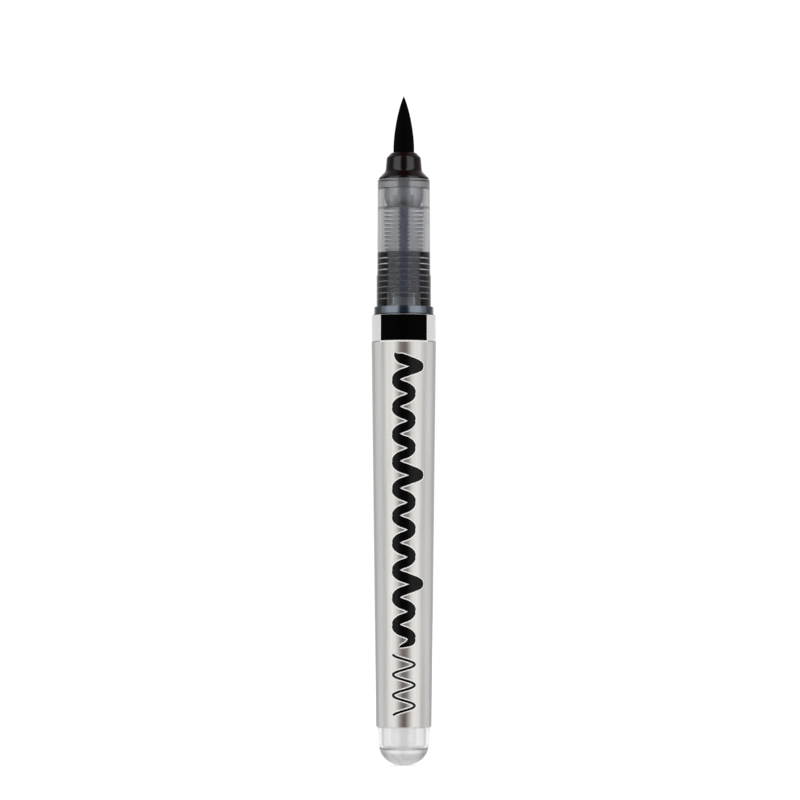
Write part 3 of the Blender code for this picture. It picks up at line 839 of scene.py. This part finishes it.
def patch(look, white):
    low = foot("colour_patch")
    high = head("colour_patch")
    rows = straight_rows(low, high, -PATCH_HALF_WIDTH, PATCH_HALF_WIDTH)
    made = wrapped("black_colour_block", rows, PATCH_UNDER, PATCH_OVER, look)
    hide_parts("colour_patch")
    half = PATCH_HALF_WIDTH + PATCH_MARGIN
    rows = straight_rows(low - PATCH_MARGIN_BELOW, high + PATCH_MARGIN_ABOVE, -half, half)
    wrapped("white_block_margin", rows, PATCH_MARGIN_UNDER, PATCH_MARGIN_OVER, white)


def film_seam(silver):
    rows = []
    for i in range(SEAM_STEPS + 1):
        share = SEAM_INSET + (1 - 2 * SEAM_INSET) * i / SEAM_STEPS
        height = sleeve_foot + (sleeve_head - sleeve_foot) * share
        back = math.pi * film_radius(height)
        rows.append((height, back - SEAM_HALF_WIDTH, back + SEAM_HALF_WIDTH))
    wrapped("sleeve_lap_seam", rows, 0.0, SEAM_THICKNESS, silver)


# ---- printed brush line

WAVE_HEAD = 82.0 * MM
WAVE_FOOT = 23.6 * MM
WAVE_PERIOD = 5.4 * MM
WAVE_REACH = 1.75 * MM
WAVE_SWELL = 1.9 * MM
WAVE_STEPS = 48
WAVE_SLIM = 0.56  # half widths, in mm
WAVE_BROAD_DOWN = 1.02
WAVE_BROAD_UP = 0.88
HAIRLINE_HEAD = 22.2 * MM
HAIRLINE_FOOT = 10.0 * MM
HAIRLINE_PERIOD = 4.07 * MM
HAIRLINE_REACH = 2.2 * MM
HAIRLINE_STEPS = 40
HAIRLINE_HALF_WIDTH = 0.24 * MM
PRINT_LIFT = 0.035 * MM
MARGIN_UNDER = 0.002 * MM
MARGIN_LIFT = 0.02 * MM
MARGIN = 0.2 * MM


def brush_line(name, path, half_widths, under, over, look):
    """A printed line of changing width that follows (distance round the barrel, height) points."""
    mesh = bmesh.new()
    layers = []
    for lift in (under, over):
        grid = []
        for i, ((u, height), half) in enumerate(zip(path, half_widths)):
            before = path[max(i - 1, 0)]
            after = path[min(i + 1, len(path) - 1)]
            along = Vector((after[0] - before[0], after[1] - before[1])).normalized()
            side = Vector((-along.y, along.x))
            line = []
            for step in range(STROKE_STEPS + 1):
                offset = side * half * (2 * step / STROKE_STEPS - 1)
                line.append(on_barrel(mesh, height + offset.y, u + offset.x, lift))
            grid.append(line)
        layers.append(grid)
    close_sheet(mesh, *layers)
    return finish(name, mesh, look)


def pressure_wave():
    """A serpentine drawn with a full brush: broad on each pass, slimmer in the turns, and every fourth
    turn swings wider to the right."""
    turns = (WAVE_HEAD - WAVE_FOOT) / WAVE_PERIOD
    path, halves = [], []
    for i in range(int(turns * WAVE_STEPS) + 1):
        t = i / WAVE_STEPS
        swing = -math.cos(2 * math.pi * t)
        wide = WAVE_SWELL if int(t) % 4 == 0 and swing > 0 else 0.0
        reach = WAVE_REACH + wide * max(swing, 0.0) ** 2
        flat = math.copysign(abs(swing) ** 0.8, swing)
        path.append((reach * flat, WAVE_HEAD - t * WAVE_PERIOD))
        press = math.sin(2 * math.pi * t)
        broad = WAVE_BROAD_DOWN if press > 0 else WAVE_BROAD_UP
        ends = min(1.0, t * 5, (turns - t) * 5)
        halves.append((WAVE_SLIM + (broad - WAVE_SLIM) * abs(press) ** 0.6) * MM * (0.2 + 0.8 * ends))
    return path, halves


def hairline_wave():
    turns = (HAIRLINE_HEAD - HAIRLINE_FOOT) / HAIRLINE_PERIOD
    path, halves = [], []
    for i in range(int(turns * HAIRLINE_STEPS) + 1):
        t = i / HAIRLINE_STEPS
        path.append((-HAIRLINE_REACH * math.cos(2 * math.pi * t), HAIRLINE_HEAD - t * HAIRLINE_PERIOD))
        halves.append(HAIRLINE_HALF_WIDTH)
    return path, halves


def prints(black, white):
    for name, (path, halves) in (("brush_wave", pressure_wave()), ("hairline_wave", hairline_wave())):
        margin = [half + MARGIN for half in halves]
        brush_line(name + "_margin", path, margin, MARGIN_UNDER, MARGIN_LIFT, white)
        brush_line(name, path, halves, MARGIN_LIFT, PRINT_LIFT, black)


# ---- section base, grip tube and adapter

FOOT_RECESS = 0.35 * MM
SPIGOT_RELIEF = 0.2 * MM
SPIGOT_LAND = 1.3 * MM
GROOVE_DEPTH = 0.14 * MM
GROOVE_DROP = 0.52 * MM
STEM_RADIUS = 2.3 * MM
GRIP_FOOT_LENGTH = 6.6 * MM
GRIP_TAPER = 0.08 * MM
REAR_BORE_LENGTH = 11.1 * MM
SPIGOT_CHAMFER = 0.75 * MM
ADAPTER_NECK_LENGTH = 2.6 * MM
RING_LENGTH = 1.85 * MM
FRONT_STEM_LENGTH = 2.4 * MM

flange_foot = mouth + SEAT_GAP
grip_foot = foot("grip_tube")
grip_head = head("grip_tube")
grip_foot_radius = radius("grip_tube")
grip_front_radius = radius("nozzle_adapter")
flange_head = grip_foot - SEAT_GAP + FOOT_RECESS
plug_head = head("section_base")
grip_rear_bore = grip_foot_radius - GRIP_FOOT_WALL
grip_front_bore = grip_front_radius - GRIP_FRONT_WALL
bore_step = grip_foot + REAR_BORE_LENGTH
adapter_foot = foot("nozzle_adapter")
ring_foot = grip_head + SEAT_GAP
ring_head = ring_foot + RING_LENGTH
core_bore = radius("feed_wick") + FIT_GAP
core_radius = core_bore + CORE_WALL


def section_base(look):
    spigot = bore_radius(mouth) - FIT_GAP
    plug = grip_rear_bore - FIT_GAP
    recess = grip_foot_radius + FIT_GAP
    flange = radius("section_base")
    bore = STEM_RADIUS + FIT_GAP
    seat = flange_head - FOOT_RECESS
    groove = plug_head - GROOVE_DROP
    outline = rounded(
        (bore, foot("section_base")),
        (spigot - SPIGOT_RELIEF, foot("section_base"), 0.15 * MM),
        (spigot - SPIGOT_RELIEF, flange_foot - SPIGOT_LAND - SPIGOT_RELIEF, 0.1 * MM),
        (spigot, flange_foot - SPIGOT_LAND, 0.1 * MM),
        (spigot, flange_foot),
        (flange, flange_foot, 0.06 * MM),
        (flange, flange_head, 0.14 * MM),
        (recess, flange_head, 0.04 * MM),
        (recess, seat),
        (plug, seat),
        (plug, groove - 0.23 * MM, 0.04 * MM),
        (plug - GROOVE_DEPTH, groove - 0.1 * MM, 0.04 * MM),
        (plug - GROOVE_DEPTH, groove + 0.1 * MM, 0.04 * MM),
        (plug, groove + 0.22 * MM, 0.04 * MM),
        (plug, plug_head, 0.12 * MM),
        (bore, plug_head),
    )
    made = turned("flange_and_plug", outline, look)
    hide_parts("section_base")


def grip_tube(look, inked, frosted):
    step = grip_foot + GRIP_FOOT_LENGTH
    outline = rounded(
        (grip_rear_bore, grip_foot, EDGE_ROUND),
        (grip_foot_radius, grip_foot, 0.08 * MM),
        (grip_foot_radius, step, 0.08 * MM),
        (grip_front_radius + GRIP_TAPER, step, EDGE_ROUND),
        (grip_front_radius, grip_head, 0.1 * MM),
        (grip_front_bore, grip_head, 0.1 * MM),
        (grip_front_bore, bore_step, 0.15 * MM),
        (grip_rear_bore, bore_step, 0.15 * MM),
    )
    made = turned("smoke_grip_tube", outline, look)
    paint_inside(made, inked, grip_rear_bore, grip_foot, bore_step - 0.15 * MM)
    paint_inside(made, frosted, grip_front_bore, bore_step, grip_head - 0.1 * MM)
    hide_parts("grip_tube")


def adapter(look):
    spigot = grip_front_bore - FIT_GAP
    stem_bore = core_radius + FIT_GAP
    stem_head = adapter_foot + FRONT_STEM_LENGTH
    neck = NECK_RADIUS
    outline = rounded(
        (stem_bore, adapter_foot, 0.1 * MM),
        (spigot - SPIGOT_CHAMFER, adapter_foot, 0.1 * MM),
        (spigot, adapter_foot + 2 * SPIGOT_CHAMFER, 0.1 * MM),
        (spigot, ring_foot),
        (grip_front_radius, ring_foot, 0.06 * MM),
        (grip_front_radius, ring_head, 0.28 * MM),
        (neck, ring_head),
        (neck, ring_head + ADAPTER_NECK_LENGTH, 0.1 * MM),
        (core_bore, ring_head + ADAPTER_NECK_LENGTH),
        (core_bore, stem_head),
        (stem_bore, stem_head),
    )
    made = turned("smoke_adapter_ring", outline, look)
    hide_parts("nozzle_adapter")


# ---- nozzle

NOZZLE_NECK_RADIUS = 3.67 * MM
NOZZLE_HEAD_RADIUS = 3.43 * MM
NOZZLE_LIP_RADIUS = 2.55 * MM
NOZZLE_RIM_HEIGHT = 0.25 * MM
NOZZLE_CONE_HEIGHT = 1.35 * MM
NOZZLE_HEAD_ROUND_HEIGHT = 0.95 * MM
NECK_RADIUS = NOZZLE_HEAD_RADIUS - NOZZLE_WALL - FIT_GAP
BRUSH_RADIUS = 2.09 * MM
MOUTH_GAP = 0.2 * MM


def nozzle(look):
    low = foot("nozzle")
    lip = head("nozzle")
    rim = low + NOZZLE_RIM_HEIGHT
    cone = rim + NOZZLE_CONE_HEIGHT
    shoulder = head("brush_root")
    cavity = NECK_RADIUS + FIT_GAP
    mouth_radius = BRUSH_RADIUS + MOUTH_GAP
    outline = rounded(
        (cavity, low),
        (radius("nozzle"), low, EDGE_ROUND),
        (radius("nozzle"), rim, 0.12 * MM),
        (NOZZLE_NECK_RADIUS, cone, 0.5 * MM),
        (NOZZLE_HEAD_RADIUS, lip - NOZZLE_HEAD_ROUND_HEIGHT, 0.22 * MM),
        (NOZZLE_LIP_RADIUS, lip, 0.2 * MM),
        (mouth_radius, lip, 0.1 * MM),
        (mouth_radius, shoulder),
        (cavity, shoulder),
    )
    made = turned("glossy_nozzle", outline, look)
    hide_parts("nozzle")


# ---- collector and wick

REAR_FIN_PITCH = 1.16 * MM
REAR_FIN_THICKNESS = 0.62 * MM
FRONT_FIN_PITCH = 0.76 * MM
FRONT_FIN_THICKNESS = 0.38 * MM
FIN_EASE = 0.3
AIR_SLOT_WIDTH = 2.0 * MM
INK_SLIT_WIDTH = 0.4 * MM
SLOT_FLOOR = 0.05 * MM
CORE_REACH = 0.06 * MM
INK_FADE_BELOW = 0.3 * MM
INK_FADE_ABOVE = 0.6 * MM


def fins(low, high, pitch, thickness, size):
    """Corners of evenly spaced fins with eased rims on the collector's core, from low up to high."""
    count = int((high - low - thickness) / pitch) + 1
    spacing = (high - low - thickness) / (count - 1)
    ease = thickness * FIN_EASE
    corners = []
    for i in range(count):
        start = low + i * spacing
        corners += [
            (core_radius, start),
            (size - ease, start),
            (size, start + ease),
            (size, start + thickness - ease),
            (size - ease, start + thickness),
            (core_radius, start + thickness),
        ]
    return corners


def collector(look, core):
    fins_foot = plug_head + SEAT_GAP
    rear_head = bore_step - SEAT_GAP
    front_foot = bore_step + FRONT_FIN_THICKNESS
    front_head = adapter_foot - SEAT_GAP
    low = foot("collector")
    rear = fins(fins_foot, rear_head, REAR_FIN_PITCH, REAR_FIN_THICKNESS, grip_rear_bore - FIT_GAP)
    front = fins(front_foot, front_head, FRONT_FIN_PITCH, FRONT_FIN_THICKNESS, grip_front_bore - FIT_GAP)
    outline = [(core_bore, low), (STEM_RADIUS, low), (STEM_RADIUS, fins_foot)]
    outline += rear[1:] + front
    outline += [(core_radius, head("collector")), (core_bore, head("collector"))]
    made = turned("finned_collector", outline, look, FIN_SEGMENTS)
    reach = grip_foot_radius
    web = core_radius + SLOT_FLOOR
    low, high = fins_foot - SEAT_GAP, front_head + SEAT_GAP
    box_cut(made, (-AIR_SLOT_WIDTH / 2, -reach, low), (AIR_SLOT_WIDTH / 2, -web, high))
    box_cut(made, (-INK_SLIT_WIDTH / 2, web, low), (INK_SLIT_WIDTH / 2, reach, high))
    smooth(made)
    paint_inside(made, core, core_radius + CORE_REACH, foot("collector"), head("collector"))
    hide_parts("collector")


def wick(look):
    size = radius("feed_wick")
    low, high = foot("feed_wick"), head("feed_wick")
    outline = rounded((0.0, low), (size, low, 0.1 * MM), (size, high, 0.1 * MM), (0.0, high))
    made = turned("ink_wick", outline, look, FIN_SEGMENTS)
    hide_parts("feed_wick")


# ---- brush

BRUSH_TAPER_LENGTH = 10.6 * MM
BRUSH_TAPER_CURVE = 1.7
BRUSH_TIP_FULLNESS = 0.85
BRISTLES = 260
BRISTLE_RADIUS = 0.035 * MM
BRISTLE_SIDES = 5
BRISTLE_SHARP_ANGLE = 60.0
BRISTLE_END = 0.3  # share of its thickness left at a bristle's end
BRISTLE_STEPS = 12
BRISTLE_SEED = 7
BRISTLE_SHORTEST = 0.3 * MM
BRISTLE_END_SPREAD = 2.6 * MM
BRISTLE_END_DROP = 0.15 * MM
BRISTLE_LOWEST_END = 8.0 * MM
NEAR_AXIS = 1e-6
CORE_SEGMENTS = 180
CORE_STEPS = 26
TIP_THINNEST = 0.012 * MM
CORE_THINNEST = 0.008 * MM
COURSE_THINNEST = 0.01 * MM
BELLY_START = 1.0 * MM  # how far below its pivot the free bundle starts

brush_pivot = Vector(frame["joints"][0]["pos_m"]).z
point_pivot = Vector(frame["joints"][1]["pos_m"]).z
brush_tip = head("brush_point")
brush_split = (brush_pivot + point_pivot) / 2


def brush_radius(height):
    left = max(1.0 - (brush_tip - height) / BRUSH_TAPER_LENGTH, 0.0)
    return BRUSH_RADIUS * max(1.0 - left**BRUSH_TAPER_CURVE, 0.0) ** BRUSH_TIP_FULLNESS


def strand_ripple(angle):
    """Fine ridges round the bundle, the same at every height."""
    ridges = 0.5 * math.sin(61 * angle) + 0.3 * math.sin(97 * angle + 1.0) + 0.2 * math.sin(23 * angle + 2.0)
    return 1.0 + 0.010 * ridges


def close_tube(mesh, rings):
    """Side faces between rings of corners, and a face on each end."""
    for low, high in zip(rings, rings[1:]):
        for a, b, c, d in zip(low, low[1:] + low[:1], high, high[1:] + high[:1]):
            mesh.faces.new((a, b, d, c))
    mesh.faces.new(list(reversed(rings[0])))
    mesh.faces.new(rings[-1])


def bristle_tube(mesh, points, size):
    """A thin tube along points, tapered at its last one."""
    turns = [2 * math.pi * k / BRISTLE_SIDES for k in range(BRISTLE_SIDES)]
    rings = []
    for point in points:
        thick = size if point is not points[-1] else size * BRISTLE_END
        out = Vector((point.x, point.y, 0.0))
        out = out.normalized() if out.length > NEAR_AXIS else Vector((1.0, 0.0, 0.0))
        side = Vector((-out.y, out.x, 0.0))
        rings.append(
            [mesh.verts.new(point + thick * (out * math.cos(turn) + side * math.sin(turn))) for turn in turns]
        )
    close_tube(mesh, rings)


def bristle_course(draw):
    """(angle, share of the bundle's radius, height where it ends) of one bristle."""
    angle = draw.uniform(0.0, 2 * math.pi)
    share = draw.uniform(0.965, 0.995)
    end = brush_tip - abs(draw.gauss(0.0, 1.0)) * BRISTLE_END_SPREAD - BRISTLE_END_DROP
    return angle, share, max(end, brush_tip - BRISTLE_LOWEST_END)


def bundle(name, low, high, look):
    """One length of the brush: a rippled core with fine bristles laid along it."""
    mesh = bmesh.new()
    rings = []
    for i in range(CORE_STEPS + 1):
        height = low + (high - low) * i / CORE_STEPS
        size = max(brush_radius(height), TIP_THINNEST) - 0.5 * BRISTLE_RADIUS
        ring = []
        for k in range(CORE_SEGMENTS):
            angle = 2 * math.pi * k / CORE_SEGMENTS
            reach = max(size, CORE_THINNEST) * strand_ripple(angle)
            ring.append(mesh.verts.new(polar(reach, angle, height)))
        rings.append(ring)
    close_tube(mesh, rings)
    draw = random.Random(BRISTLE_SEED)
    for _ in range(BRISTLES):
        angle, share, end = bristle_course(draw)
        top = min(high, end)
        if top <= low + BRISTLE_SHORTEST:
            continue
        points = []
        for i in range(BRISTLE_STEPS + 1):
            height = low + (top - low) * i / BRISTLE_STEPS
            size = max(brush_radius(height) - BRISTLE_RADIUS, COURSE_THINNEST) * share
            points.append(Vector(polar(size, angle, height)))
        bristle_tube(mesh, points, BRISTLE_RADIUS)
    return finish(name, mesh, look, body=None, sharp=BRISTLE_SHARP_ANGLE)


def brush(look):
    lower = bundle("bristles_lower", brush_pivot - BELLY_START, brush_split, look)
    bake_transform(lower)
    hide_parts("brush_belly")
    upper = bundle("bristles_upper", brush_split, brush_tip, look)
    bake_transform(upper)
    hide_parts("brush_point")


# ---- stage


def repaint(node, look):
    """A CAD solid that stays gets a finished material."""
    data = frame["nodes"][node].data
    data.materials.clear()
    data.materials.append(look)


def studio():
    """White surroundings with two tall soft panels in front, a dark gap between them and grey sides."""
    world = bpy.data.worlds.new("studio")
    bpy.context.scene.world = world
    world.use_nodes = True
    tree = world.node_tree
    nodes, links = tree.nodes, tree.links
    nodes.clear()
    place = nodes.new("ShaderNodeTexCoord")
    split = nodes.new("ShaderNodeSeparateXYZ")
    links.new(place.outputs["Generated"], split.inputs["Vector"])
    towards = math_node(tree, "MULTIPLY", split.outputs["Y"], -1.0)
    turn = math_node(tree, "ABSOLUTE", math_node(tree, "ARCTAN2", split.outputs["X"], towards))
    share = math_node(tree, "DIVIDE", turn, math.pi)
    by_degrees = (
        (0, (0.060, 0.040, 0.040)),
        (16, (0.09, 0.062, 0.060)),
        (28, (0.98, 0.98, 0.965)),
        (62, (1.0, 1.0, 0.985)),
        (80, (0.46, 0.46, 0.46)),
        (140, (0.42, 0.42, 0.425)),
        (152, (0.72, 0.72, 0.72)),
        (180, (0.72, 0.72, 0.72)),
    )
    colours = colour_ramp(tree, share, [(degrees / 180, colour) for degrees, colour in by_degrees])
    panels = nodes.new("ShaderNodeBackground")
    links.new(colours, panels.inputs["Color"])
    overhead = map_range(tree, split.outputs["Z"], 0.93, 0.985, PANEL_LIGHT, OVERHEAD_LIGHT)
    links.new(overhead, panels.inputs["Strength"])
    paper = nodes.new("ShaderNodeBackground")
    paper.inputs["Color"].default_value = (1.0, 1.0, 1.0, 1.0)
    paper.inputs["Strength"].default_value = PAPER_LIGHT
    ray = nodes.new("ShaderNodeLightPath")
    both = nodes.new("ShaderNodeMixShader")
    links.new(ray.outputs["Is Camera Ray"], both.inputs["Fac"])
    links.new(panels.outputs[0], both.inputs[1])
    links.new(paper.outputs[0], both.inputs[2])
    out = nodes.new("ShaderNodeOutputWorld")
    links.new(both.outputs[0], out.inputs["Surface"])


def floor():
    mesh = bmesh.new()
    bmesh.ops.create_grid(mesh, x_segments=1, y_segments=1, size=FLOOR_HALF_WIDTH)
    look = Look("floor_white", Roughness=0.9)
    look.shader.inputs["Base Color"].default_value = (0.8, 0.8, 0.8, 1.0)
    look.shader.inputs["Emission Color"].default_value = (1.0, 1.0, 1.0, 1.0)
    seen = look.nodes.new("ShaderNodeLightPath")
    look.drive("Emission Strength", look.spread(seen.outputs["Is Camera Ray"], 0.0, 1.0, 0.0, 0.6))
    look.bump(look.noise(4.0 * MM, 2.0), 0.02 * MM)
    made = mesh_object("floor", mesh)
    made.data.materials.append(look.material)
    made.visible_glossy = False
    made.visible_transmission = False


def camera():
    data = bpy.data.cameras.new("camera")
    data.lens = LENS
    data.clip_start = 0.01
    data.clip_end = 10.0
    made = placed("camera", data)
    made.location = (VIEW_CENTRE.x, -CAMERA_DISTANCE, CAMERA_HEIGHT)
    made.rotation_mode = "QUATERNION"
    made.rotation_quaternion = (VIEW_CENTRE - made.location).to_track_quat("-Z", "Y")
    bpy.context.scene.camera = made


# ---- the marker

bpy.context.scene.view_settings.view_transform = "Standard"
bpy.context.scene.cycles.max_bounces = 24
bpy.context.scene.cycles.transmission_bounces = 20

clear_plastic = clear_look()
smoke_plastic = smoke_look(bore_step)
black_plastic = black_plastic_look()
silver_film = silver_look()
pale_film = pale_film_look()
block_print = print_look("black_block_print", (0.0003,) * 3, (0.0012,) * 3, 0.5, 0.65, 0.02)
line_print = print_look("black_line_print", (0.0004,) * 3, (0.0014,) * 3, 0.2, 0.3, 0.16)
# The white print glows a little: painted light that keeps it bright.
white_print = print_look("white_print", (0.92,) * 3, (0.96,) * 3, 0.5, 0.65, 0.3, glow=0.12)
bristle = bristle_look()

rear_plug(plug_look(PLUG_FLOOR), misted_look())
barrel(clear_plastic)
sleeve(silver_film)
band(pale_film)
patch(block_print, white_print)
film_seam(silver_film)
prints(line_print, white_print)
section_base(flange_look(flange_head))
inked_bore = inked_bore_look(plug_head + SEAT_GAP, REAR_FIN_PITCH, grip_foot + GRIP_FOOT_LENGTH)
grip_tube(smoke_plastic, inked_bore, frosted_bore_look(adapter_foot))
adapter(adapter_look(adapter_foot, ring_foot))
nozzle(black_plastic)
fin_zones = (bore_step - INK_FADE_BELOW, bore_step + INK_FADE_ABOVE)
collector(collector_look(*fin_zones), core_look(*fin_zones, adapter_foot))
wick(wick_look(adapter_foot))
brush(bristle)
repaint("brush_root", bristle)
repaint("tank_stopper", plain_moulding_look("natural_plastic", (0.70, 0.70, 0.68), (0.82, 0.82, 0.80)))
repaint("ink_charge", plain_moulding_look("ink", (0.002, 0.002, 0.003), (0.005, 0.005, 0.007)))
repaint("tank_seal_ring", plain_moulding_look("seal_rubber", (0.015, 0.015, 0.015), (0.03, 0.03, 0.03)))
studio()
floor()
camera()
